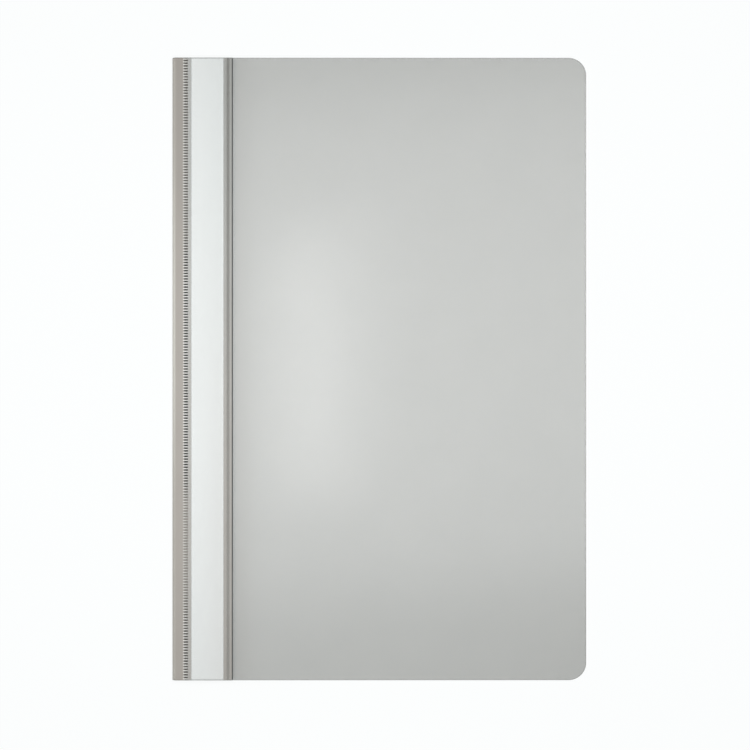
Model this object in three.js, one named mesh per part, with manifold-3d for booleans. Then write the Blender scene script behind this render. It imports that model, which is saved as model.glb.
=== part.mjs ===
// A clear-front report file for long sheets, closed and lying on its back cover.
//
// A coloured sheet makes the back cover, rolls round the spine and comes back over the front as a
// narrow margin. Its solids meet face to face half way up the roll and where the roll ends, so that
// the front can open. A clear film is welded to that margin by a knurled seam and a smooth seam,
// holds a paper title strip between them, and goes on past a crease as the clear front cover.
// Inside, a flap welded beside the spine carries a two-hole fastener: a bent metal strip, a
// compressor bar and two slide locks.
//
// Millimetres. X is the width with the spine at -X, Y the height, Z the thickness. The back cover
// lies on Z = 0, and the origin is at the middle of the outline.

import * as THREE from 'three';
import { mergeVertices } from 'three/addons/utils/BufferGeometryUtils.js';
import Module from 'manifold-3d';

// Outline
const fileWidth = 229;
const fileHeight = 344.5;
const outerCornerRadius = 9.7;

// Stock
const sheetThickness = 0.3;
const filmThickness = 0.2;
const paperThickness = 0.2;
const metalThickness = 0.25;

// Front margin, measured from the spine edge
const marginWidth = 32.9;
const knurlStart = 6.3;
const knurlWidth = 2.3;
const knurlPitch = 1.51;
const knurlDepth = 0.12;
const knurlBead = 0.2;
const knurlMouthShare = 0.48;
const knurlFloorShare = 0.4;
const knurlToStrip = 2;
const pocketSlope = 0.9;
const pocketPlay = 0.5;
const stripToSeam = 1.8;
const seamWidth = 1.5;
const seamDepth = 0.1;
const seamToEdge = 1.4;
const filmSetback = 0.3;

// Crease and front cover
const creaseGap = 0.3;
const coverRestGap = 0.3;
const coverSlack = 1.8;

// Binding flap
const flapLength = 204;
const flapStart = 3.2;
const flapSeamWidth = 4.3;
const flapStep = 1.5;
const flapToMarginEdge = 1.3;
const flapCornerRadius = 6;

// Fastener
const holeSpacing = 80;
const fastenerCentre = 19.4;
const tongueWidth = 5;
const tongueLength = 18;
const slotSlack = 0.4;
const barWidth = 10;
const barOverhang = 12;
const barPlateThickness = 0.7;
const barFootWidth = 6.4;
const barFootHeight = 0.9;
const barRibHeight = 0.25;
const barRibWidth = 0.7;

// Slide locks
const lockLength = 9;
const lockWall = 0.5;
const lockPlay = 0.3;
const lockLipThickness = 0.4;
const lockLipReach = 1.55;
const lockBendGap = 0.6;
const gripGrooves = 4;
const gripGroovePitch = 1.6;
const gripGrooveWidth = 0.7;
const gripGrooveDepth = 0.2;
const lockToMargin = 0.3;

// Fineness, and how far a cutter reaches past what it cuts
const spineSteps = 8;
const coverSteps = 18;
const cornerSteps = 10;
const weldDistance = 1e-5;
const cutterReach = 1;

// Levels, from the back cover up
const backTop = sheetThickness;
const metalTop = backTop + metalThickness;
const flapTop = metalTop + sheetThickness;
const footTop = flapTop + barFootHeight;
const barTop = footTop + barPlateThickness;
const tongueTop = barTop + metalThickness;
const lockInside = tongueTop + lockPlay;
const lockTop = lockInside + lockWall;
const marginUnder = lockTop + lockToMargin;
const marginTop = marginUnder + sheetThickness;
const pocketUnder = marginTop + paperThickness;
const pocketTop = pocketUnder + filmThickness;
const spineRadius = marginTop / 2;
const belowAll = -cutterReach;
const aboveAll = pocketTop + cutterReach;

// Places along the width
const spineEdge = -fileWidth / 2;
const openEdge = fileWidth / 2;
const marginEdge = spineEdge + marginWidth;
const fastenerX = spineEdge + fastenerCentre;
const tongueY = holeSpacing / 2;

// Places across the margin, measured from the spine edge
const knurlEnd = knurlStart + knurlWidth;
const stripStart = knurlEnd + knurlToStrip;
const seamEnd = marginWidth - seamToEdge;
const seamStart = seamEnd - seamWidth;
const stripEnd = seamStart - stripToSeam;
const flapEnd = marginWidth - flapToMarginEdge;

const wasm = await Module();
wasm.setup();

// Solids and meshes

function solidOf(geometry) {
  const plain = geometry.clone();
  plain.deleteAttribute('normal');
  plain.deleteAttribute('uv');
  const merged = mergeVertices(plain, weldDistance);
  return new wasm.Manifold(new wasm.Mesh({
    numProp: 3,
    vertProperties: new Float32Array(merged.attributes.position.array),
    triVerts: new Uint32Array(merged.index.array),
  }));
}

function geometryOf(solid) {
  const { vertProperties, triVerts } = solid.getMesh();
  const geometry = new THREE.BufferGeometry();
  geometry.setAttribute('position', new THREE.BufferAttribute(vertProperties, 3));
  geometry.setIndex(new THREE.BufferAttribute(triVerts, 1));
  geometry.computeVertexNormals();
  return geometry;
}

function meshOf(name, solid, material) {
  const mesh = new THREE.Mesh(geometryOf(solid), material);
  mesh.name = name;
  return mesh;
}

// A section drawn in X and Z, drawn out along Y between two heights
function alongY(section, fromY, toY) {
  const geometry = new THREE.ExtrudeGeometry(new THREE.Shape(section), {
    depth: toY - fromY,
    bevelEnabled: false,
  });
  geometry.rotateX(Math.PI / 2);
  geometry.translate(0, toY, 0);
  return solidOf(geometry);
}

// A section drawn in Y and Z, drawn out along X on both sides of a centre
function alongX(section, centreX, width) {
  const geometry = new THREE.ExtrudeGeometry(new THREE.Shape(section), {
    depth: width,
    bevelEnabled: false,
  });
  geometry.applyMatrix4(new THREE.Matrix4().makeBasis(
    new THREE.Vector3(0, 1, 0),
    new THREE.Vector3(0, 0, 1),
    new THREE.Vector3(1, 0, 0),
  ));
  geometry.translate(centreX - width / 2, 0, 0);
  return solidOf(geometry);
}

// A flat outline in X and Y, raised between two levels
function raised(outline, fromZ, toZ) {
  const geometry = new THREE.ExtrudeGeometry(outline, {
    depth: toZ - fromZ,
    bevelEnabled: false,
  });
  geometry.translate(0, 0, fromZ);
  return solidOf(geometry);
}

const point = (x, y) => new THREE.Vector2(x, y);

// Points of an arc about a centre, in degrees
function arcPoints(centreA, centreB, radius, fromDegrees, toDegrees, steps) {
  const points = [];
  for (let i = 0; i <= steps; i += 1) {
    const angle = THREE.MathUtils.degToRad(fromDegrees + ((toDegrees - fromDegrees) * i) / steps);
    points.push(point(centreA + radius * Math.cos(angle), centreB + radius * Math.sin(angle)));
  }
  return points;
}

// A rectangle with its own corner radius on the left and on the right side
function roundedOutline(left, right, bottom, top, leftRadius, rightRadius) {
  const corners = [
    [right - rightRadius, bottom + rightRadius, rightRadius, -90],
    [right - rightRadius, top - rightRadius, rightRadius, 0],
    [left + leftRadius, top - leftRadius, leftRadius, 90],
    [left + leftRadius, bottom + leftRadius, leftRadius, 180],
  ];
  const points = corners.flatMap(([x, y, radius, angle]) => (
    radius > 0 ? arcPoints(x, y, radius, angle, angle + 90, cornerSteps) : [point(x, y)]
  ));
  const apart = points.filter((p, i) => p.distanceTo(points.at(i - 1)) > weldDistance);
  return new THREE.Shape(apart);
}

function boxBetween(x0, x1, y0, y1, z0, z1) {
  const geometry = new THREE.BoxGeometry(x1 - x0, y1 - y0, z1 - z0);
  geometry.translate((x0 + x1) / 2, (y0 + y1) / 2, (z0 + z1) / 2);
  return solidOf(geometry);
}

// The file's own outline, with its two rounded corners on the open side
function outlinePrism() {
  const outline = roundedOutline(
    spineEdge - cutterReach, openEdge, -fileHeight / 2, fileHeight / 2, 0, outerCornerRadius,
  );
  return raised(outline, belowAll, aboveAll);
}

// Slots for the two tongues, through everything they meet
function tongueSlots() {
  const halfWidth = tongueWidth / 2 + slotSlack;
  const inner = tongueY - slotSlack;
  const outer = tongueY + metalThickness + slotSlack;
  const x0 = fastenerX - halfWidth;
  const x1 = fastenerX + halfWidth;
  const upper = boxBetween(x0, x1, inner, outer, belowAll, aboveAll);
  const lower = boxBetween(x0, x1, -outer, -inner, belowAll, aboveAll);
  return upper.add(lower);
}

// Coloured sheet: back cover with the lower half of the spine roll
function backCover() {
  const centreX = spineEdge + spineRadius;
  const innerRadius = spineRadius - sheetThickness;
  const section = [
    point(openEdge, 0),
    point(openEdge, backTop),
    ...arcPoints(centreX, spineRadius, innerRadius, 270, 180, spineSteps),
    ...arcPoints(centreX, spineRadius, spineRadius, 180, 270, spineSteps),
  ];
  return alongY(section, -fileHeight / 2, fileHeight / 2).intersect(outlinePrism());
}

// Coloured sheet: upper half of the spine roll, which turns with the front margin
function spineRoll() {
  const centreX = spineEdge + spineRadius;
  const innerRadius = spineRadius - sheetThickness;
  const section = [
    ...arcPoints(centreX, spineRadius, innerRadius, 90, 180, spineSteps),
    ...arcPoints(centreX, spineRadius, spineRadius, 180, 90, spineSteps),
  ];
  return alongY(section, -fileHeight / 2, fileHeight / 2);
}

// Coloured sheet: the narrow front margin, flat from the roll to its free edge
function frontMargin() {
  const half = fileHeight / 2;
  return boxBetween(spineEdge + spineRadius, marginEdge, -half, half, marginUnder, marginTop);
}

// Grooves of the knurled seam, one comb of cutters from top to bottom
function knurlCutter() {
  const grooves = Math.floor(fileHeight / knurlPitch);
  const start = (-grooves * knurlPitch) / 2;
  const floorZ = marginTop + filmThickness - knurlDepth;
  const mouthZ = marginTop + filmThickness + knurlDepth;
  const halfMouth = (knurlPitch * knurlMouthShare) / 2;
  const halfFloor = (knurlPitch * knurlFloorShare) / 2;
  const section = [point(start, aboveAll)];
  for (let i = 0; i < grooves; i += 1) {
    const y = start + (i + 0.5) * knurlPitch;
    section.push(point(y - halfMouth, mouthZ));
    section.push(point(y - halfFloor, floorZ));
    section.push(point(y + halfFloor, floorZ));
    section.push(point(y + halfMouth, mouthZ));
  }
  section.push(point(-start, aboveAll));
  section.reverse();
  const width = knurlWidth - knurlBead;
  return alongX(section, spineEdge + knurlStart + knurlBead + width / 2, width);
}

// Clear film welded to the margin, open at both ends as a pocket for the title strip
function titlePocketFilm() {
  const pocketStart = stripStart - pocketPlay;
  const pocketEnd = stripEnd + pocketPlay;
  const filmEnd = marginWidth - filmSetback;
  const low = marginTop;
  const high = pocketUnder;
  const under = [
    [knurlStart, low],
    [Math.max(knurlEnd, pocketStart - pocketSlope), low],
    [pocketStart, high],
    [pocketEnd, high],
    [Math.min(seamStart, pocketEnd + pocketSlope), low],
    [filmEnd, low],
  ];
  const over = [
    [filmEnd, low + filmThickness],
    [seamEnd, low + filmThickness],
    [seamEnd, low + filmThickness - seamDepth],
    [seamStart, low + filmThickness - seamDepth],
    [Math.min(seamStart, pocketEnd + pocketSlope), low + filmThickness],
    [pocketEnd, high + filmThickness],
    [pocketStart, high + filmThickness],
    [Math.max(knurlEnd, pocketStart - pocketSlope), low + filmThickness],
    [knurlStart, low + filmThickness],
  ];
  const section = [...under, ...over].map(([u, z]) => point(spineEdge + u, z));
  return alongY(section, -fileHeight / 2, fileHeight / 2).subtract(knurlCutter());
}

// Paper strip in the pocket
function titleStrip() {
  const half = fileHeight / 2;
  return boxBetween(
    spineEdge + stripStart, spineEdge + stripEnd, -half, half, marginTop, pocketUnder,
  );
}

// Clear front cover, falling from the crease until it lies on the back cover
function frontCover() {
  const nearX = marginEdge + creaseGap;
  const drop = marginTop - (backTop + coverRestGap);
  const under = [];
  for (let i = 0; i <= coverSteps; i += 1) {
    const share = i / coverSteps;
    const x = nearX + (openEdge - nearX) * share;
    under.push(point(x, marginTop - drop + drop * (1 - share) ** coverSlack));
  }
  const over = under.map((p) => point(p.x, p.y + filmThickness)).reverse();
  const film = alongY([...under, ...over], -fileHeight / 2, fileHeight / 2);
  return film.intersect(outlinePrism());
}

// Inner flap, welded beside the spine and lying over the fastener's metal strip
function bindingFlap() {
  const weldEnd = flapStart + flapSeamWidth;
  const under = [
    [flapStart, backTop],
    [weldEnd, backTop],
    [weldEnd + flapStep, metalTop],
    [flapEnd, metalTop],
  ];
  const over = [...under].reverse().map(([u, z]) => [u, z + sheetThickness]);
  const section = [...under, ...over].map(([u, z]) => point(spineEdge + u, z));
  const outline = roundedOutline(
    spineEdge + flapStart, spineEdge + flapEnd, -flapLength / 2, flapLength / 2, 0, flapCornerRadius,
  );
  return alongY(section, -flapLength / 2, flapLength / 2)
    .intersect(raised(outline, belowAll, aboveAll))
    .subtract(tongueSlots());
}

// Metal strip: a base under the flap, and a tongue at each end that rises and folds over the bar
function fastenerStrip() {
  const outer = tongueY + metalThickness;
  const fold = tongueY - tongueWidth / 2;
  const section = [
    point(-outer, backTop),
    point(outer, backTop),
    point(outer, tongueTop),
    point(fold, tongueTop),
    point(fold, barTop),
    point(tongueY, barTop),
    point(tongueY, metalTop),
    point(-tongueY, metalTop),
    point(-tongueY, barTop),
    point(-fold, barTop),
    point(-fold, tongueTop),
    point(-outer, tongueTop),
  ];
  let strip = alongX(section, fastenerX, tongueWidth);
  const half = tongueWidth / 2;
  for (const side of [1, -1]) {
    const tongue = new THREE.Shape();
    const tip = side * (tongueY - tongueLength + half);
    const root = side * (fold + metalThickness);
    tongue.moveTo(fastenerX + side * half, root);
    tongue.lineTo(fastenerX - side * half, root);
    tongue.lineTo(fastenerX - side * half, tip);
    const turn = side > 0 ? Math.PI : 0;
    tongue.absarc(fastenerX, tip, half, turn, turn + Math.PI, false);
    strip = strip.add(raised(tongue, barTop, tongueTop));
  }
  return strip;
}

// Compressor bar: a plate on a narrower foot, two slots and a raised rib along each edge
function compressorBar() {
  const length = holeSpacing + 2 * barOverhang;
  const outline = roundedOutline(
    fastenerX - barWidth / 2, fastenerX + barWidth / 2,
    -length / 2, length / 2, barWidth / 2, barWidth / 2,
  );
  const foot = roundedOutline(
    fastenerX - barFootWidth / 2, fastenerX + barFootWidth / 2,
    -length / 2 + lockPlay, length / 2 - lockPlay, barFootWidth / 2, barFootWidth / 2,
  );
  let bar = raised(outline, footTop, barTop).add(raised(foot, flapTop, footTop));
  for (const side of [1, -1]) {
    const edge = fastenerX + side * (barWidth / 2);
    const inside = edge - side * barRibWidth;
    const straight = length / 2 - barWidth / 2;
    bar = bar.add(boxBetween(
      Math.min(edge, inside), Math.max(edge, inside), -straight, straight, footTop, barTop + barRibHeight,
    ));
  }
  return bar.subtract(tongueSlots());
}

// Slide lock: a saddle round the bar's edges that holds the tongue down
function slideLock(side) {
  const innerHalf = barWidth / 2 + lockPlay;
  const outerHalf = innerHalf + lockWall;
  const lipHalf = innerHalf - lockLipReach;
  const lipTop = footTop - lockPlay;
  const lipUnder = lipTop - lockLipThickness;
  const section = [
    [-outerHalf, lipUnder],
    [-lipHalf, lipUnder],
    [-lipHalf, lipTop],
    [-innerHalf, lipTop],
    [-innerHalf, lockInside],
    [innerHalf, lockInside],
    [innerHalf, lipTop],
    [lipHalf, lipTop],
    [lipHalf, lipUnder],
    [outerHalf, lipUnder],
    [outerHalf, lockTop],
    [-outerHalf, lockTop],
  ].map(([x, z]) => point(fastenerX + x, z));
  const farY = tongueY - lockBendGap;
  const nearY = farY - lockLength;
  let lock = alongY(section, side > 0 ? nearY : -farY, side > 0 ? farY : -nearY);
  const middle = (farY + nearY) / 2;
  for (let i = 0; i < gripGrooves; i += 1) {
    const y = side * (middle + (i - (gripGrooves - 1) / 2) * gripGroovePitch);
    lock = lock.subtract(boxBetween(
      fastenerX - innerHalf, fastenerX + innerHalf,
      y - gripGrooveWidth / 2, y + gripGrooveWidth / 2,
      lockTop - gripGrooveDepth, aboveAll,
    ));
  }
  return lock;
}

// Finishes
const colouredFilm = { color: 0xb0aca5, roughness: 0.42, metalness: 0 };
const clearFilm = { color: 0xcdd0cd, roughness: 0.28, metalness: 0, transparent: true, opacity: 0.4 };
const paper = { color: 0xeef1f0, roughness: 0.8, metalness: 0 };
const tinplate = { color: 0xc4c6c8, roughness: 0.3, metalness: 1 };
const whitePlastic = { color: 0xe6e6e2, roughness: 0.4, metalness: 0 };
const lockPlastic = { color: 0xd8d8d4, roughness: 0.35, metalness: 0 };

const finish = (values) => new THREE.MeshStandardMaterial(values);

const group = new THREE.Group();
group.add(meshOf('back_cover', backCover(), finish(colouredFilm)));
group.add(meshOf('spine_roll', spineRoll(), finish(colouredFilm)));
group.add(meshOf('front_margin', frontMargin(), finish(colouredFilm)));
group.add(meshOf('title_pocket_film', titlePocketFilm(), finish(clearFilm)));
group.add(meshOf('title_strip', titleStrip(), finish(paper)));
group.add(meshOf('front_cover', frontCover(), finish(clearFilm)));
group.add(meshOf('binding_flap', bindingFlap(), finish(colouredFilm)));
group.add(meshOf('fastener_strip', fastenerStrip(), finish(tinplate)));
group.add(meshOf('compressor_bar', compressorBar(), finish(whitePlastic)));
group.add(meshOf('slide_lock_upper', slideLock(1), finish(lockPlastic)));
group.add(meshOf('slide_lock_lower', slideLock(-1), finish(lockPlastic)));

export default group;
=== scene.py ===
import math

import bmesh
import bpy
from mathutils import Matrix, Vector


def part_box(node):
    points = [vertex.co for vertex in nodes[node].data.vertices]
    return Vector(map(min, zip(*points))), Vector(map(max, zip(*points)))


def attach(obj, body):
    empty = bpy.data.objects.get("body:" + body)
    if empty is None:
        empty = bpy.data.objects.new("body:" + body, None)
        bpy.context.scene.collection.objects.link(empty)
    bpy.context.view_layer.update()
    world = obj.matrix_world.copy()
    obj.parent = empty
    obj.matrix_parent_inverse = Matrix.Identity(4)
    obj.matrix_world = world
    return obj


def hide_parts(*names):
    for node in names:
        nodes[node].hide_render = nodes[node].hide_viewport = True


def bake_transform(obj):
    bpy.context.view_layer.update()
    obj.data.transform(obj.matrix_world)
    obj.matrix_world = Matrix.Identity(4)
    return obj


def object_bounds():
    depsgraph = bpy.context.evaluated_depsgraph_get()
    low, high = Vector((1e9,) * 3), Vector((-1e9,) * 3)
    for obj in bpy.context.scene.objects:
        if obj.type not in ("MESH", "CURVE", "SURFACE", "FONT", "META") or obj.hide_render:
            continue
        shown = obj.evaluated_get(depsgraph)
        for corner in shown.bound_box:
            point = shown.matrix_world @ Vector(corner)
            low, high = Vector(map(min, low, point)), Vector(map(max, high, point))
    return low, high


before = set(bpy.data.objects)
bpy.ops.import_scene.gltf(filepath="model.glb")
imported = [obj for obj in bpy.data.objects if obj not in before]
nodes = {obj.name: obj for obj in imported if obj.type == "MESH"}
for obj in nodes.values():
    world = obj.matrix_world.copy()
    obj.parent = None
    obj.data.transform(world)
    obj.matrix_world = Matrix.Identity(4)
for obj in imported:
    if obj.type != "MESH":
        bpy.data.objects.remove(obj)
cad_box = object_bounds()

# Stock and corners, in metres

MM = 0.001
SHEET = 0.3 * MM
FILM = 0.2 * MM
METAL = 0.25 * MM
CORNER_RADIUS = 9.7 * MM
FLAP_CORNER = 6.0 * MM
WELD_GAP = 0.015 * MM
IOR = 1.49

# Places from the frame

low, high = cad_box
spine_x = low.x
open_x = high.x
half_height = high.y
margin_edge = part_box("front_margin")[1].x
margin_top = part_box("front_margin")[1].z
spine_radius = margin_top / 2
strip_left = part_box("title_strip")[0].x
strip_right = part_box("title_strip")[1].x
pocket_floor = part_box("title_strip")[1].z
film_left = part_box("title_pocket_film")[0].x
cover_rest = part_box("front_cover")[0].z
file_width = open_x - spine_x
margin_width = margin_edge - spine_x
strip_start = strip_left - spine_x
strip_end = strip_right - spine_x

# Seams, measured from the spine edge

KNURL_START = 6.5 * MM
KNURL_END = 8.6 * MM
KNURL_BEAD = 0.65 * MM
KNURL_PITCH = 1.51 * MM
KNURL_SIDE = 0.1 * MM
RIDGE_SHARE = 0.41
RIDGE_HEIGHT = 0.18 * MM
RIDGE_LIFT = 0.11 * MM
SEAM_START = 30.0 * MM
SEAM_END = 31.5 * MM
SEAM_SIDE = 0.2 * MM

# Edges and folds

RIM = 0.6 * MM
FOLD_EASE = 0.6 * MM
FOLD_EASE_REACH = 3.2 * MM
POCKET_SLOPE = 1.1 * MM
POCKET_CLEARANCE = 0.2 * MM
POCKET_CUTS = 1.4 * MM
COVER_SLACK = 1.8
CREASE_CUTS_START = 0.7 * MM
CREASE_CUTS_END = 1.1 * MM
SHARP_EDGE = 35

# Fastener

TONGUE_BEND = 0.6 * MM
TONGUE_TIP_SHARE = 0.48
TONGUE_PAST_LOCK = 8.4 * MM
BAR_EDGE = 0.12 * MM
LOCK_EDGE = 0.08 * MM

# Camera and photograph

PHOTO_SIZE = 750
PIXEL = 0.5538 * MM
FILE_CENTRE_X_PX = 379.35
FILE_CENTRE_Y_PX = 369.0
CAMERA_HEIGHT = 3.0
SENSOR = 36.0


# Materials

def linear(red, green, blue):
    """A colour as the eye reads it on a screen, 0 to 255, as the light that makes it."""
    def one(channel):
        share = channel / 255
        return share / 12.92 if share <= 0.04045 else ((share + 0.055) / 1.055) ** 2.4
    return (one(red), one(green), one(blue), 1.0)


class Value:
    """A socket's value inside a material. Arithmetic on it adds the Math node that does it."""

    def __init__(self, finish, socket):
        self.finish = finish
        self.socket = socket

    def math(self, operation, *values, clamp=False):
        settings = {"operation": operation, "use_clamp": clamp}
        return self.finish.add("ShaderNodeMath", settings, dict(enumerate(values)))

    def __add__(self, other):
        return self.math("ADD", self, other)

    __radd__ = __add__

    def __sub__(self, other):
        return self.math("SUBTRACT", self, other)

    def __rsub__(self, other):
        return self.math("SUBTRACT", other, self)

    def __mul__(self, other):
        return self.math("MULTIPLY", self, other)

    __rmul__ = __mul__

    def size(self):
        return self.math("ABSOLUTE", self)

    def above(self, floor):
        return self.math("MAXIMUM", self, floor)

    def below(self, ceiling):
        return self.math("MINIMUM", self, ceiling)

    def root(self):
        return self.math("SQRT", self)

    def clamped(self):
        return self.math("ADD", self, 0.0, clamp=True)


class Finish:
    """One material and its nodes."""

    def __init__(self, name):
        self.material = bpy.data.materials.new(name)
        self.material.use_nodes = True
        self.tree = self.material.node_tree
        self.tree.nodes.clear()

    def add(self, kind, settings, sockets, output=0):
        """A node of that kind, with its settings first and then the values or links of its sockets."""
        node = self.tree.nodes.new(kind)
        for name, value in settings.items():
            setattr(node, name, value)
        for name, value in sockets.items():
            if isinstance(value, Value):
                self.tree.links.new(value.socket, node.inputs[name])
            else:
                node.inputs[name].default_value = value
        return Value(self, node.outputs[output]) if node.outputs else None

    def place(self, attribute=None):
        """Where a point lies: on the flat stock before it was folded, or else on the piece."""
        if attribute:
            return self.add("ShaderNodeAttribute", {"attribute_name": attribute}, {}, "Vector")
        return self.add("ShaderNodeTexCoord", {}, {}, "Object")

    def axes(self, place):
        """The three coordinates of a place."""
        node = self.add("ShaderNodeSeparateXYZ", {}, {"Vector": place}).socket.node
        return [Value(self, output) for output in node.outputs]

    def noise(self, place, scale, detail, roughness=0.5, stretch=(1, 1, 1)):
        """Noise with a grain of about 1 / scale metres."""
        moved = self.add("ShaderNodeMapping", {}, {"Vector": place, "Scale": stretch})
        sockets = {"Vector": moved, "Scale": scale, "Detail": detail, "Roughness": roughness}
        return self.add("ShaderNodeTexNoise", {}, sockets, "Fac")

    def step(self, value, start, end):
        """0 below start and 1 above end, smooth between them."""
        sockets = {"Value": value, "From Min": start, "From Max": end}
        return self.add("ShaderNodeMapRange", {"interpolation_type": "SMOOTHSTEP"}, sockets)

    def band(self, value, start, end, soft):
        """1 between start and end, with soft sides."""
        rise = self.step(value, start - soft / 2, start + soft / 2)
        fall = self.step(value, end - soft / 2, end + soft / 2)
        return rise * (1 - fall)

    def pressure(self, along_y):
        """How deep the sealing wheel pressed: most half way up the file, a little at both ends. It sets
        how strong the painted shade under the knurled seam and the painted highlight on its ridges are.
        """
        middle = 1 - self.step(along_y.size(), 25 * MM, 80 * MM)
        top = self.step(along_y, 40 * MM, 80 * MM)
        foot = self.step(0 - along_y, 112 * MM, 150 * MM)
        return (middle + 0.12 * top + 0.25 * foot).clamped()

    def rim(self, past_side, past_end, radius):
        """1 on the cut edge of a sheet, from how far a point lies past the round corner's centre."""
        side = past_side.above(0)
        end = past_end.above(0)
        inside = past_side.math("MAXIMUM", past_side, past_end).below(0)
        edge = (side * side + end * end).root() + inside - radius
        return self.step(edge, -RIM, -0.2 * RIM)

    def blend(self, factor, first, second):
        """One colour going over to another."""
        return self.add("ShaderNodeMix", {"data_type": "RGBA"}, {0: factor, 6: first, 7: second}, 2)

    def bump(self, height, distance, strength):
        """The normal of a surface that rises and falls by about that distance."""
        sockets = {"Height": height, "Distance": distance, "Strength": strength}
        return self.add("ShaderNodeBump", {}, sockets)

    def surface(self, sockets):
        return self.add("ShaderNodeBsdfPrincipled", {}, sockets)

    def show(self, shader):
        """The material itself, with that shader as its surface."""
        self.add("ShaderNodeOutputMaterial", {}, {"Surface": shader})
        return self.material


def grained_sheet(finish, place):
    """The coloured sheet's tone, roughness and grain: sandy, with a faint cloudiness."""
    cloud = finish.noise(place, 40, 4)
    grain = finish.noise(place, 5200, 2)
    fine = finish.noise(place, 1900, 3)
    tone = finish.blend((cloud * 1.4 - 0.2).clamped(), linear(158, 152, 145), linear(165, 159, 152))
    tone = finish.blend(grain * 0.16, tone, linear(134, 130, 124))
    return tone, 0.40 + 0.14 * fine, finish.bump(grain * 0.7 + fine * 0.3, 0.02 * MM, 0.3)


def painted_edge_shade(finish, rim, tone):
    """The sheet's tone, with painted shade along its cut edge."""
    return finish.blend(rim, tone, linear(104, 102, 98))


def coloured_sheet_finish():
    """Warm grey polypropylene, paler where it is rolled, with painted shade on the margin's top."""
    finish = Finish("warm_grey_polypropylene")
    place = finish.place("flat")
    around, along_y, _ = finish.axes(place)
    tone, rough, normal = grained_sheet(finish, place)
    rolled = 1 - finish.step(around.size(), 2.3 * MM, 3.3 * MM)
    # How far the roll's paleness reaches along the spine: most near 25 mm above the middle.
    roll_paleness_reach = 1 - finish.step((along_y - 25 * MM).size(), 20 * MM, 120 * MM)
    tone = finish.blend(rolled * (0.45 + 0.55 * roll_paleness_reach), tone, linear(209, 207, 199))
    # Painted shade: the margin darker toward its top, where it faces away from the light.
    painted_shade_top = finish.step(along_y, 60 * MM, 110 * MM) * finish.step(around, 2.3 * MM, 4.3 * MM)
    tone = finish.blend(painted_shade_top * 0.32, tone, linear(134, 130, 124))
    corner_centre = file_width - spine_radius + math.pi * spine_radius / 2 - CORNER_RADIUS
    past_end = along_y.size() - (half_height - CORNER_RADIUS)
    rim = finish.rim(0 - around - corner_centre, past_end, CORNER_RADIUS)
    # Painted shade along the sheet's cut edges.
    tone = painted_edge_shade(finish, rim * 0.65, tone)
    sockets = {"Base Color": tone, "Roughness": rough, "Normal": normal, "IOR": IOR}
    return finish.show(finish.surface(sockets))


def inner_flap_finish():
    """The same sheet on the inner flap, which is cut on its own."""
    finish = Finish("inner_flap_polypropylene")
    place = finish.place()
    across, along_y, _ = finish.axes(place)
    tone, rough, normal = grained_sheet(finish, place)
    box_low, box_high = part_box("binding_flap")
    past_end = along_y.size() - (box_high.y - FLAP_CORNER)
    rim = finish.rim(across - (box_high.x - FLAP_CORNER), past_end, FLAP_CORNER)
    welded_edge = 1 - finish.step(across, box_low.x + 0.2 * RIM, box_low.x + RIM)
    # Painted shade along the flap's cut edges and along its welded edge.
    tone = painted_edge_shade(finish, rim.above(welded_edge) * 0.8, tone)
    sockets = {"Base Color": tone, "Roughness": rough, "Normal": normal, "IOR": IOR}
    return finish.show(finish.surface(sockets))


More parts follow.
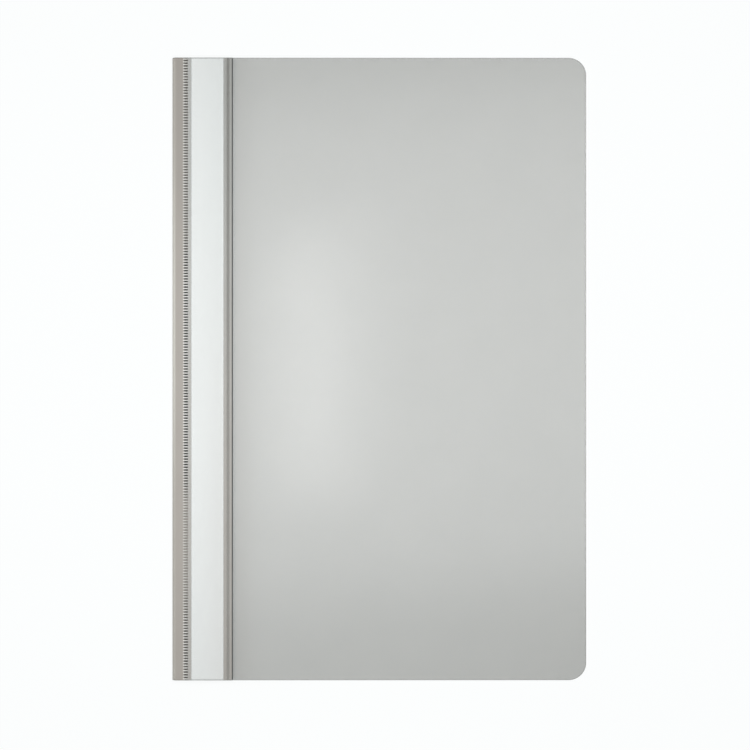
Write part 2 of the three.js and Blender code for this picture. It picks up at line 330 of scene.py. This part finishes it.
def film_finish():
    """Clear polypropylene film: milky haze, satin gloss and the marks of its seams, with painted shade
    along its cut edges, as a dark line at the margin's edge, under the knurled seam and over the first 18
    mm of the cover, and painted light over the title strip's left side.
    """
    finish = Finish("clear_polypropylene")
    place = finish.place("flat")
    across, along_y, _ = finish.axes(place)
    cloud = finish.noise(place, 18, 3)
    streak = finish.noise(place, 300, 3, 0.5, (1, 0.02, 1))
    grain = finish.noise(place, 3000, 2)
    # Painted shade: the film under the knurled ridges turns nearly black, standing in for the shade in
    # the grooves between them.
    knurl_groove_shade = finish.band(across, KNURL_START, KNURL_END, 0.12 * MM)
    deep = finish.pressure(along_y)
    seam = finish.band(across, SEAM_START, SEAM_END + 0.1 * MM, 0.6 * MM)
    # Painted shadow: a dark line just past the margin's edge, where the gap under the film lies in shade.
    crease_shadow = finish.band(across, margin_width, margin_width + 0.62 * MM, 0.12 * MM)
    fold = finish.band(across, strip_start, strip_start + 0.4 * MM, 0.2 * MM)
    fold = fold + finish.band(across, strip_end - 0.4 * MM, strip_end, 0.2 * MM)
    pressed = finish.step(across, strip_end, strip_end + 0.6 * MM)
    # Painted light: extra haze over the title strip, most at its left side, with the paper's painted
    # shade toward its right.
    over_strip = finish.band(across, strip_start, strip_end, 0.2 * MM)
    over_strip = over_strip * (1 - finish.step(across, strip_start, strip_end))
    loose = finish.step(across, margin_width + 0.2 * MM, margin_width + 0.6 * MM)
    # Painted shade: less haze over the first 18 mm past the margin's edge, where the tilted film catches
    # less light.
    loose = loose * (0.8 + 0.2 * finish.step(across, margin_width, margin_width + 18 * MM))
    bound = 1 - loose
    # Haze over the margin grows toward the top and shrinks toward the bottom.
    toward_top = finish.step(along_y, -95 * MM, 140 * MM)
    past_end = along_y.size() - (half_height - CORNER_RADIUS)
    rim = finish.rim(across - (file_width - CORNER_RADIUS), past_end, CORNER_RADIUS)
    haze = finish.blend(cloud, linear(240, 250, 251), linear(244, 253, 254))
    haze = finish.blend(pressed * bound, haze, linear(188, 202, 202))
    haze = finish.blend(seam, haze, linear(120, 126, 123))
    # Painted shadow at the margin's edge and painted shade in the grooves of the knurled seam: near-black
    # film.
    haze = finish.blend(crease_shadow + knurl_groove_shade, haze, linear(40, 39, 36))
    # Painted shade along the film's cut edges: greyer and more opaque there.
    haze = finish.blend(rim * 0.9, haze, linear(172, 174, 171))
    milky = 0.10 - 0.03 * pressed + 0.10 * loose + 0.01 * cloud + 0.01 * streak + 0.03 * over_strip
    milky = milky + (0.07 * toward_top - 0.035) * bound * (1 - over_strip)
    # Opacity of the seam and fold marks, and of the painted shade at the margin's edge, under the knurled
    # seam and along the cut edges.
    marks = seam * 0.12 + crease_shadow * 0.95 + knurl_groove_shade * (0.05 + 0.95 * deep)
    marks = marks + fold * 0.12 + rim * (0.14 + 0.1 * bound)
    rough = 0.16 + 0.03 * streak + bound * 0.12 + seam * 0.3 + (crease_shadow + knurl_groove_shade) * 0.6
    sockets = {
        "Base Color": haze,
        "Roughness": rough.clamped(),
        "Normal": finish.bump(grain * 0.5 + streak * 0.5, 0.01 * MM, 0.08),
        "IOR": IOR,
        "Specular IOR Level": 1.0,
        "Alpha": (milky + marks).clamped(),
    }
    return finish.show(finish.surface(sockets))


def knurl_finish():
    """The knurled seam's ridge tops: partly the weld's whitish haze and partly a painted highlight,
    brightest at their left ends and where the seam is deep.
    """
    finish = Finish("knurl_tops_haze_and_painted_glint")
    place = finish.place()
    across, along_y, _ = finish.axes(place)
    speck = finish.noise(place, 900, 3)
    drift = (finish.noise(place, 60, 2, 0.5, (0.2, 1, 1)) * 1.6 - 0.3).clamped()
    deep = finish.pressure(along_y).root()
    start = spine_x + KNURL_START + 0.3 * MM
    # Painted highlight: the ridges' left ends, which face the light, are paler.
    pale = 1 - finish.step(across, start, spine_x + KNURL_END - 0.2 * MM)
    tone = finish.blend(pale * 0.6 + deep * 0.4, linear(166, 165, 159), linear(228, 228, 223))
    # Painted glint: whiter patches where the seam is deep.
    tone = finish.blend(drift * deep, tone, linear(240, 240, 237))
    tone = finish.blend(speck * 0.25, tone, linear(160, 159, 154))
    sockets = {
        "Base Color": tone,
        "Roughness": 0.34 + 0.15 * speck,
        "Normal": finish.bump(speck, 0.03 * MM, 0.4),
        "IOR": IOR,
    }
    return finish.show(finish.surface(sockets))


def paper_finish():
    """Uncoated white paper with a faint fibre, with painted shade toward its right side and at its ends.
    """
    finish = Finish("white_title_paper")
    place = finish.place()
    fibre = finish.noise(place, 1500, 4, 0.6, (1, 0.35, 1))
    cloud = finish.noise(place, 90, 3)
    across, along_y, _ = finish.axes(place)
    # Painted shade: the paper darkens toward its right side.
    painted_shade_across = finish.step(across, strip_left - 4 * MM, strip_right + 4 * MM)
    tone = finish.blend(painted_shade_across, linear(238, 237, 235), linear(224, 224, 222))
    tone = finish.blend(fibre * 0.3 + cloud * 0.2, tone, linear(216, 216, 214))
    # Painted shade at the paper's top and bottom ends, where the edge above it lies in shadow.
    cut = finish.step(along_y.size(), half_height - 1.1 * MM, half_height - 0.4 * MM)
    tone = finish.blend(cut * 0.5, tone, linear(150, 150, 148))
    sockets = {
        "Base Color": tone,
        "Roughness": 0.78 + 0.12 * fibre,
        "Normal": finish.bump(fibre, 0.02 * MM, 0.3),
    }
    return finish.show(finish.surface(sockets))


def tinplate_finish():
    """Tin-plated steel strip, rolled lengthwise, with fine scuffs."""
    finish = Finish("tinplate")
    place = finish.place()
    rolled = finish.noise(place, 2600, 3, 0.55, (1, 0.03, 0.3))
    scuff = finish.noise(place, 700, 4)
    tone = finish.blend(rolled * 0.6 + scuff * 0.2, linear(136, 137, 139), linear(114, 116, 118))
    sockets = {
        "Base Color": tone,
        "Metallic": 1.0,
        "Roughness": (0.36 + 0.16 * rolled + 0.08 * scuff).clamped(),
        "Normal": finish.bump(rolled, 0.01 * MM, 0.3),
    }
    return finish.show(finish.surface(sockets))


def moulded_finish(name, tone, shade, gloss):
    """Moulded plastic with a soft orange peel and slightly darker low spots."""
    finish = Finish(name)
    place = finish.place()
    peel = finish.noise(place, 1100, 2)
    cloud = finish.noise(place, 110, 3)
    sockets = {
        "Base Color": finish.blend(cloud, tone, shade),
        "Roughness": (gloss + 0.1 * peel).clamped(),
        "Normal": finish.bump(peel, 0.015 * MM, 0.35),
        "IOR": IOR,
    }
    return finish.show(finish.surface(sockets))


SHEET_FINISH = coloured_sheet_finish()
FLAP_FINISH = inner_flap_finish()
FILM_FINISH = film_finish()
KNURL_FINISH = knurl_finish()
PAPER_FINISH = paper_finish()
TINPLATE_FINISH = tinplate_finish()
BAR_FINISH = moulded_finish(
    "white_moulding", linear(222, 222, 218), linear(212, 212, 207), 0.34,
)
LOCK_FINISH = moulded_finish(
    "off_white_moulding", linear(208, 208, 203), linear(194, 194, 189), 0.3,
)


# Making of pieces

def piece(name, bm, material, sharp=SHARP_EDGE):
    """A finished bmesh as a piece of the scene, smooth but for edges sharper than that in degrees."""
    bmesh.ops.recalc_face_normals(bm, faces=bm.faces)
    limit = math.radians(sharp)
    for face in bm.faces:
        face.smooth = True
    for edge in bm.edges:
        edge.smooth = len(edge.link_faces) == 2 and edge.calc_face_angle(0) < limit
    mesh = bpy.data.meshes.new(name)
    bm.to_mesh(mesh)
    bm.free()
    mesh.materials.append(material)
    made = bpy.data.objects.new(name, mesh)
    bpy.context.scene.collection.objects.link(made)
    return made


def spread(start, end, count):
    """Places spaced evenly between two ends, with both ends left out."""
    return [start + (end - start) * i / (count + 1) for i in range(1, count + 1)]


def flat_stock(x0, x1, y0, y1, thickness, low_radius, high_radius, cuts_x, cuts_y):
    """Flat stock with its corners rounded, scored where it will bend, and then given its thickness.

    The flat place of each point stays with it as the attribute that the finishes read.
    """
    bm = bmesh.new()
    bmesh.ops.create_grid(bm, x_segments=1, y_segments=1, size=0.5)
    bmesh.ops.scale(bm, vec=(x1 - x0, y1 - y0, 1), verts=bm.verts)
    bmesh.ops.translate(bm, vec=((x0 + x1) / 2, (y0 + y1) / 2, 0), verts=bm.verts)
    middle = (x0 + x1) / 2
    for radius, side in ((low_radius, -1), (high_radius, 1)):
        if radius > 0:
            corners = [v for v in bm.verts if side * (v.co.x - middle) > 0]
            bmesh.ops.bevel(
                bm, geom=corners, offset=radius, offset_type="OFFSET", segments=14, profile=0.5,
                affect="VERTICES", clamp_overlap=False, material=-1,
            )
    for axis, cuts in ((Vector((1, 0, 0)), cuts_x), (Vector((0, 1, 0)), cuts_y)):
        for cut in cuts:
            geometry = bm.verts[:] + bm.edges[:] + bm.faces[:]
            bmesh.ops.bisect_plane(bm, geom=geometry, plane_co=axis * cut, plane_no=axis, dist=1e-7)
    made = bmesh.ops.extrude_face_region(bm, geom=bm.faces[:])
    raised = [item for item in made["geom"] if isinstance(item, bmesh.types.BMVert)]
    bmesh.ops.translate(bm, vec=(0, 0, thickness), verts=raised)
    flat = bm.verts.layers.float_vector.new("flat")
    for vert in bm.verts:
        vert[flat] = vert.co
    return bm


def along(legs, start, heading, length):
    """Where a length measured along a folded strip comes to lie, and the heading there.

    Each leg is a length and the angle that it turns through. A leg that turns is an arc.
    """
    a, b = start
    for leg, turn in legs:
        step = min(length, leg)
        if turn:
            radius = leg / turn
            after = heading + step / radius
            a += radius * (math.sin(after) - math.sin(heading))
            b -= radius * (math.cos(after) - math.cos(heading))
            heading = after
        else:
            a += step * math.cos(heading)
            b += step * math.sin(heading)
        length -= step
        if length <= 0:
            break
    return a, b, heading


def folded(bm, legs, start, heading, across):
    """Folds flat stock along its legs, with its thickness to the right of the way that it runs."""
    for vert in bm.verts:
        a, b, way = along(legs, start, heading, vert.co.x)
        depth = vert.co.z
        vert.co = across(a + depth * math.sin(way), b - depth * math.cos(way), vert.co.y)


def make_coloured_sheet():
    """Back cover, spine roll and front margin, rolled from one sheet that is eased at the roll's ends."""
    roll = math.pi * spine_radius
    back = file_width - spine_radius
    margin = margin_width - spine_radius
    cuts = spread(back, back + roll, 31) + [back, back + roll]
    cuts += spread(0, back, 11) + spread(back + roll, back + roll + margin, 3)
    bm = flat_stock(
        0, back + roll + margin, -half_height, half_height, SHEET, CORNER_RADIUS, 0,
        cuts, spread(-half_height, half_height, 11),
    )
    flat = bm.verts.layers.float_vector.active
    for vert in bm.verts:
        around = vert.co.x - back - roll / 2
        vert[flat] = Vector((around, vert.co.y, vert.co.z))
        if abs(vert.co.y) > half_height - FOLD_EASE:
            ease = FOLD_EASE * max(0, 1 - abs(around) / FOLD_EASE_REACH) ** 2
            vert.co.y -= math.copysign(ease, vert.co.y)
    legs = [(back, 0), (roll, -math.pi), (margin + MM, 0)]
    folded(bm, legs, (open_x, 0), math.pi, lambda a, b, y: Vector((a, y, b)))
    made = piece("coloured_sheet", bm, SHEET_FINISH)
    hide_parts("back_cover", "spine_roll", "front_margin")
    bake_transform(made)


def ramp(value, start, end):
    """0 below start and 1 above end, smooth between them."""
    share = min(max((value - start) / (end - start), 0), 1)
    return share * share * (3 - 2 * share)


def film_floor(across):
    """Height of the film's lower face above the desk, at a distance from the spine edge."""
    if across <= margin_width:
        pocket_start = strip_start - POCKET_CLEARANCE
        pocket_end = strip_end + POCKET_CLEARANCE
        rise = ramp(across, pocket_start - POCKET_SLOPE, pocket_start)
        fall = ramp(across, pocket_end, pocket_end + POCKET_SLOPE)
        return margin_top + WELD_GAP + (pocket_floor - margin_top) * rise * (1 - fall)
    share = (across - margin_width) / (file_width - margin_width)
    return cover_rest + (margin_top + WELD_GAP - cover_rest) * (1 - share) ** COVER_SLACK


def film_depth(across):
    """Thickness of the film there: thin where a seam pressed it."""
    knurl_groove_shade = ramp(across, KNURL_START - KNURL_SIDE, KNURL_START)
    knurl_groove_shade *= 1 - ramp(across, KNURL_END, KNURL_END + KNURL_SIDE)
    seam = ramp(across, SEAM_START - SEAM_SIDE, SEAM_START + SEAM_SIDE)
    seam *= 1 - ramp(across, SEAM_END - SEAM_SIDE, SEAM_END + SEAM_SIDE)
    return (FILM - WELD_GAP) * (1 - 0.6 * knurl_groove_shade - 0.5 * seam)


def make_clear_film():
    """Pocket film and front cover, one film from the knurled seam to the open side."""
    left = film_left - spine_x
    cuts = [KNURL_START - KNURL_SIDE, KNURL_START, KNURL_END, KNURL_END + KNURL_SIDE]
    cuts += spread(strip_start - POCKET_CUTS, strip_start, 6)
    cuts += spread(strip_start, strip_end, 3)
    cuts += spread(strip_end, strip_end + POCKET_CUTS, 6)
    cuts += spread(SEAM_START - 0.3 * MM, SEAM_START + 0.3 * MM, 4)
    cuts += spread(SEAM_END - 0.3 * MM, SEAM_END + 0.3 * MM, 4)
    cuts += spread(margin_width - CREASE_CUTS_START, margin_width + CREASE_CUTS_END, 14)
    cuts += spread(margin_width + CREASE_CUTS_END, file_width, 44)
    bm = flat_stock(
        left, file_width, -half_height, half_height, FILM, 0, CORNER_RADIUS,
        cuts, spread(-half_height, half_height, 23),
    )
    for vert in bm.verts:
        across = vert.co.x
        height = film_floor(across) + (film_depth(across) if vert.co.z > 0 else 0)
        vert.co = Vector((spine_x + across, vert.co.y, height))
    made = piece("clear_film", bm, FILM_FINISH)
    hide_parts("title_pocket_film", "front_cover")
    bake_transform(made)


def make_knurled_seam():
    """The ridges that the sealing wheel leaves, from the top of the file to the bottom."""
    bm = bmesh.new()
    size = (KNURL_END - KNURL_START + KNURL_BEAD, RIDGE_SHARE * KNURL_PITCH, RIDGE_HEIGHT)
    bmesh.ops.create_cube(bm, size=1)
    bmesh.ops.scale(bm, vec=size, verts=bm.verts)
    top = [e for e in bm.edges if all(v.co.z > 0 for v in e.verts)]
    bmesh.ops.bevel(
        bm, geom=top, offset=RIDGE_HEIGHT / 2, offset_type="OFFSET", segments=2, profile=0.5,
        affect="EDGES", clamp_overlap=True, material=-1,
    )
    ridges = math.floor(2 * half_height / KNURL_PITCH)
    middle = spine_x + (KNURL_START - KNURL_BEAD + KNURL_END) / 2
    first = Vector((middle, -(ridges - 1) / 2 * KNURL_PITCH, margin_top + RIDGE_LIFT))
    bmesh.ops.translate(bm, vec=first, verts=bm.verts)
    pattern = bm.verts[:] + bm.edges[:] + bm.faces[:]
    for i in range(1, ridges):
        copy = bmesh.ops.duplicate(bm, geom=pattern)
        verts = [item for item in copy["geom"] if isinstance(item, bmesh.types.BMVert)]
        bmesh.ops.translate(bm, vec=(0, i * KNURL_PITCH, 0), verts=verts)
    made = piece("knurled_seam", bm, KNURL_FINISH, sharp=50)
    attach(made, "margin")


def make_fastener_strip():
    """The metal strip, cut flat with round tips and bent up at both holes and over the bar."""
    box_low, box_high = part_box("fastener_strip")
    bar_top = box_high.z - METAL
    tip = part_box("slide_lock_upper")[0].y - TONGUE_PAST_LOCK
    quarter = TONGUE_BEND * math.pi / 2
    reach = box_high.y
    width = box_high.x - box_low.x
    tongue = reach - TONGUE_BEND - tip
    rise = box_high.z - box_low.z - 2 * TONGUE_BEND
    base = 2 * (reach - TONGUE_BEND)
    turn = (quarter, -math.pi / 2)
    legs = [(tongue, 0), turn, (rise, 0), turn, (base, 0), turn, (rise, 0), turn, (tongue + MM, 0)]
    total = sum(leg for leg, _ in legs) - MM
    tip_radius = TONGUE_TIP_SHARE * width
    cuts = []
    at = 0
    for leg, angle in legs[:-1]:
        cuts += [at + leg]
        if angle:
            cuts += spread(at, at + leg, 5)
        at += leg
    bm = flat_stock(
        0, total, -width / 2, width / 2, METAL, tip_radius, tip_radius, cuts, [],
    )
    centre_x = (box_low.x + box_high.x) / 2
    folded(bm, legs, (tip, bar_top + METAL), 0, lambda a, b, x: Vector((centre_x - x, a, b)))
    made = piece("bent_tongue_strip", bm, TINPLATE_FINISH)
    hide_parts("fastener_strip")
    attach(made, "back")


def refined(node, name, material, edge, body):
    """A moulded part with the solid's own shape and its edges rounded over."""
    bm = bmesh.new()
    bm.from_mesh(nodes[node].data)
    bmesh.ops.remove_doubles(bm, verts=bm.verts, dist=0.001 * MM)
    bmesh.ops.dissolve_limit(bm, angle_limit=math.radians(1), verts=bm.verts, edges=bm.edges)
    least = math.radians(40)
    corners = [e for e in bm.edges if len(e.link_faces) == 2 and e.calc_face_angle(0) > least]
    bmesh.ops.bevel(
        bm, geom=corners, offset=edge, offset_type="OFFSET", segments=2, profile=0.5,
        affect="EDGES", clamp_overlap=True, material=-1,
    )
    made = piece(name, bm, material, sharp=20)
    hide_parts(node)
    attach(made, body)


def dress(node, material):
    """Gives a solid its finish and leaves its shape alone."""
    nodes[node].data.materials.clear()
    nodes[node].data.materials.append(material)


make_coloured_sheet()
make_clear_film()
make_knurled_seam()
make_fastener_strip()
refined("compressor_bar", "bar_moulding", BAR_FINISH, BAR_EDGE, "back")
refined(
    "slide_lock_upper", "upper_lock_moulding", LOCK_FINISH, LOCK_EDGE, "upper_lock",
)
refined(
    "slide_lock_lower", "lower_lock_moulding", LOCK_FINISH, LOCK_EDGE, "lower_lock",
)
dress("title_strip", PAPER_FINISH)
dress("binding_flap", FLAP_FINISH)


# Floor, light and camera

WHITE = (0.985, 1.0, 1.0, 1.0)
FLOOR_TONE = (0.95, 0.95, 0.95, 1.0)
FLOOR_SHOWN_WHITE = 0.93
FLOOR_GAP = 0.02 * MM
FLOOR_REACH = 6.0
ROOM_LIGHT = 0.25


def floor_finish():
    """Pale floor that shows white to the camera and keeps the file's shadow."""
    finish = Finish("studio_floor")
    ray = finish.add("ShaderNodeLightPath", {}, {}).socket.node
    seen = Value(finish, ray.outputs["Is Camera Ray"])
    glossy = Value(finish, ray.outputs["Is Glossy Ray"])
    through = Value(finish, ray.outputs["Is Transmission Ray"])
    matt = finish.add("ShaderNodeBsdfDiffuse", {}, {"Color": FLOOR_TONE})
    white = finish.add("ShaderNodeEmission", {}, {"Color": WHITE, "Strength": 1.0})
    share = (seen + glossy + through).clamped() * FLOOR_SHOWN_WHITE
    return finish.show(finish.add("ShaderNodeMixShader", {}, {0: share, 1: matt, 2: white}))


def make_floor():
    """A wide floor just under the file."""
    bm = bmesh.new()
    bmesh.ops.create_grid(bm, x_segments=1, y_segments=1, size=FLOOR_REACH)
    bmesh.ops.translate(bm, vec=(0, 0, low.z - FLOOR_GAP), verts=bm.verts)
    mesh = bpy.data.meshes.new("studio_floor")
    bm.to_mesh(mesh)
    bm.free()
    mesh.materials.append(floor_finish())
    floor = bpy.data.objects.new("studio_floor", mesh)
    bpy.context.scene.collection.objects.link(floor)


def make_lamp(name, place, size_x, size_y, turn, power):
    """A soft box that shines straight down, turned by some degrees."""
    data = bpy.data.lights.new(name, "AREA")
    data.shape = "RECTANGLE"
    data.size = size_x
    data.size_y = size_y
    data.energy = power
    lamp = bpy.data.objects.new(name, data)
    lamp.location = place
    lamp.rotation_euler.z = math.radians(turn)
    lamp.visible_camera = False
    bpy.context.scene.collection.objects.link(lamp)


def make_world():
    """An even room light, which the camera and reflections see as white."""
    world = bpy.data.worlds.new("studio")
    bpy.context.scene.world = world
    world.use_nodes = True
    tree = world.node_tree
    tree.nodes.clear()
    ray = tree.nodes.new("ShaderNodeLightPath")
    room = tree.nodes.new("ShaderNodeBackground")
    room.inputs["Color"].default_value = (1, 1, 1, 1)
    room.inputs["Strength"].default_value = ROOM_LIGHT
    white = tree.nodes.new("ShaderNodeBackground")
    white.inputs["Color"].default_value = WHITE
    white.inputs["Strength"].default_value = 1.0
    mix = tree.nodes.new("ShaderNodeMixShader")
    out = tree.nodes.new("ShaderNodeOutputWorld")
    seen = tree.nodes.new("ShaderNodeMath")
    seen.operation = "MAXIMUM"
    tree.links.new(ray.outputs["Is Camera Ray"], seen.inputs[0])
    tree.links.new(ray.outputs["Is Glossy Ray"], seen.inputs[1])
    tree.links.new(seen.outputs[0], mix.inputs[0])
    tree.links.new(room.outputs[0], mix.inputs[1])
    tree.links.new(white.outputs[0], mix.inputs[2])
    tree.links.new(mix.outputs[0], out.inputs["Surface"])


def make_camera():
    """Straight above the file, framed as the photograph is."""
    data = bpy.data.cameras.new("camera")
    data.sensor_width = SENSOR
    data.lens = SENSOR * CAMERA_HEIGHT / (PHOTO_SIZE * PIXEL)
    data.clip_start = 0.01
    camera = bpy.data.objects.new("camera", data)
    offset_x = (PHOTO_SIZE / 2 - FILE_CENTRE_X_PX) * PIXEL
    offset_y = (FILE_CENTRE_Y_PX - PHOTO_SIZE / 2) * PIXEL
    camera.location = (offset_x, offset_y, CAMERA_HEIGHT)
    bpy.context.scene.collection.objects.link(camera)
    bpy.context.scene.camera = camera


make_floor()
make_world()
make_lamp("overhead_softbox", (-0.024, 0.017, 0.56), 0.8, 0.33, turn=6, power=3.05)
make_lamp("strip_light", (-0.0152, 0.0063, 0.55), 0.03, 0.17, turn=0, power=0.17)
make_camera()
bpy.context.scene.view_settings.view_transform = "Standard"
